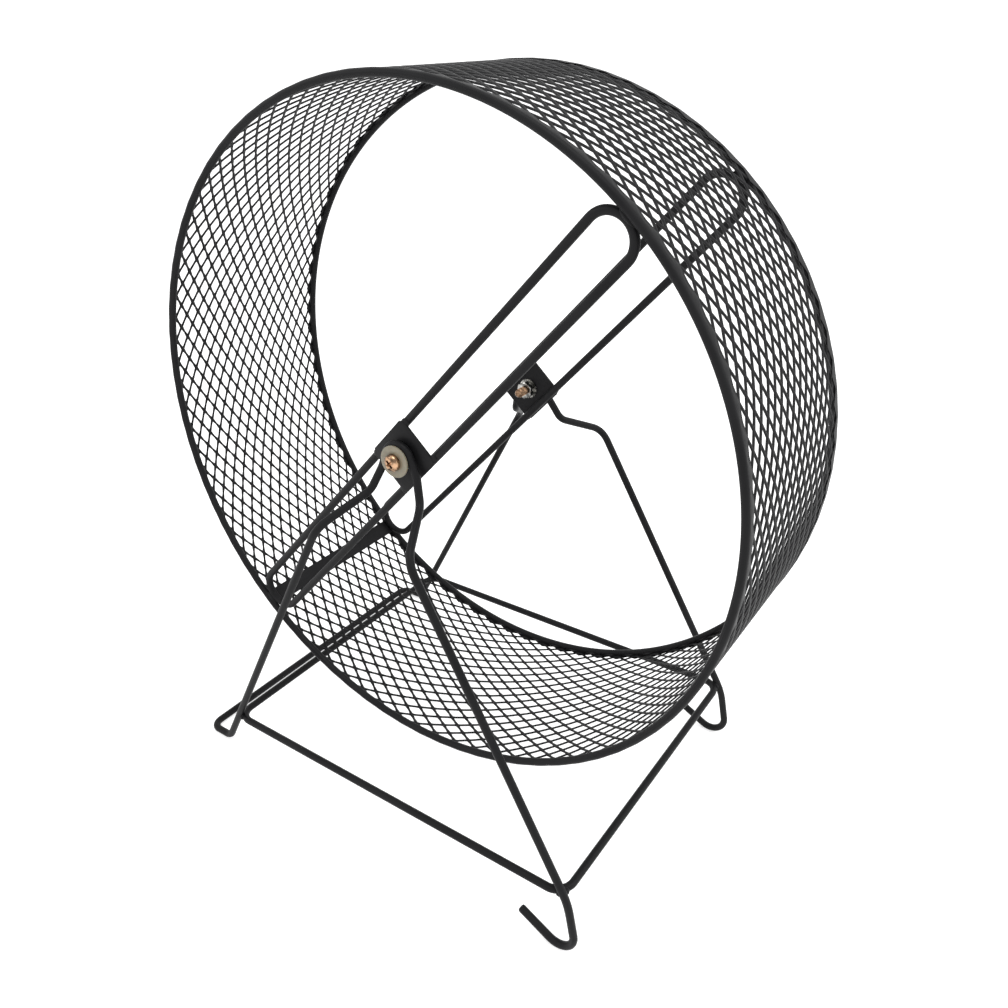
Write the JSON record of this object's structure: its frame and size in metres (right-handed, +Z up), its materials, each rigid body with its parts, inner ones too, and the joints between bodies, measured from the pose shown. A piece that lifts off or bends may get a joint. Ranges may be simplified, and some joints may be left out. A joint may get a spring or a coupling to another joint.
{
  "type": "rodent exercise wheel",
  "caption": "Black wire exercise wheel for a small rodent: an open mesh drum turns on an axle screw at each side in a bent wire stand with a runner, hooks and a base ring.",
  "frame": {"origin": "on the floor, straight below the middle of the axle", "axes": "+Z up; +Y along the axle, away from the front side; +X to the right, towards the two hooks of the stand"},
  "size_m": [0.28, 0.1524, 0.315],
  "materials": {
    "rim_paint": "satin black powder coat",
    "mesh_paint": "satin black powder coat on expanded metal",
    "stand_paint": "satin black powder coat",
    "yellow_steel": "yellow zinc plated, bright",
    "bright_steel": "bright zinc plated",
    "nylon": "natural nylon"
  },
  "bodies": {
    "stand": {"stand_wire": "stand_paint", "base_ring": "stand_paint", "front_bearing_sleeve": "stand_paint", "back_bearing_sleeve": "stand_paint"},
    "wheel": {"front_rim": "rim_paint", "back_rim": "rim_paint", "mesh_band": "mesh_paint", "seam_strip": "rim_paint", "front_spoke_loop": "rim_paint", "back_spoke_loop": "rim_paint", "front_hub_plate": "rim_paint", "back_hub_plate": "rim_paint", "front_axle_screw": "yellow_steel", "back_axle_screw": "yellow_steel", "front_nut": "bright_steel", "back_nut": "bright_steel", "front_lock_washer": "bright_steel", "back_lock_washer": "bright_steel", "front_outer_washer": "nylon", "back_outer_washer": "nylon", "front_inner_washer": "nylon", "back_inner_washer": "nylon"}
  },
  "joints": [
    {"name": "wheel_turn", "type": "hinge", "parent": "stand", "child": "wheel", "pos_m": [0, 0, 0.17505], "axis": [0, 1, 0], "continuous": true}
  ]
}
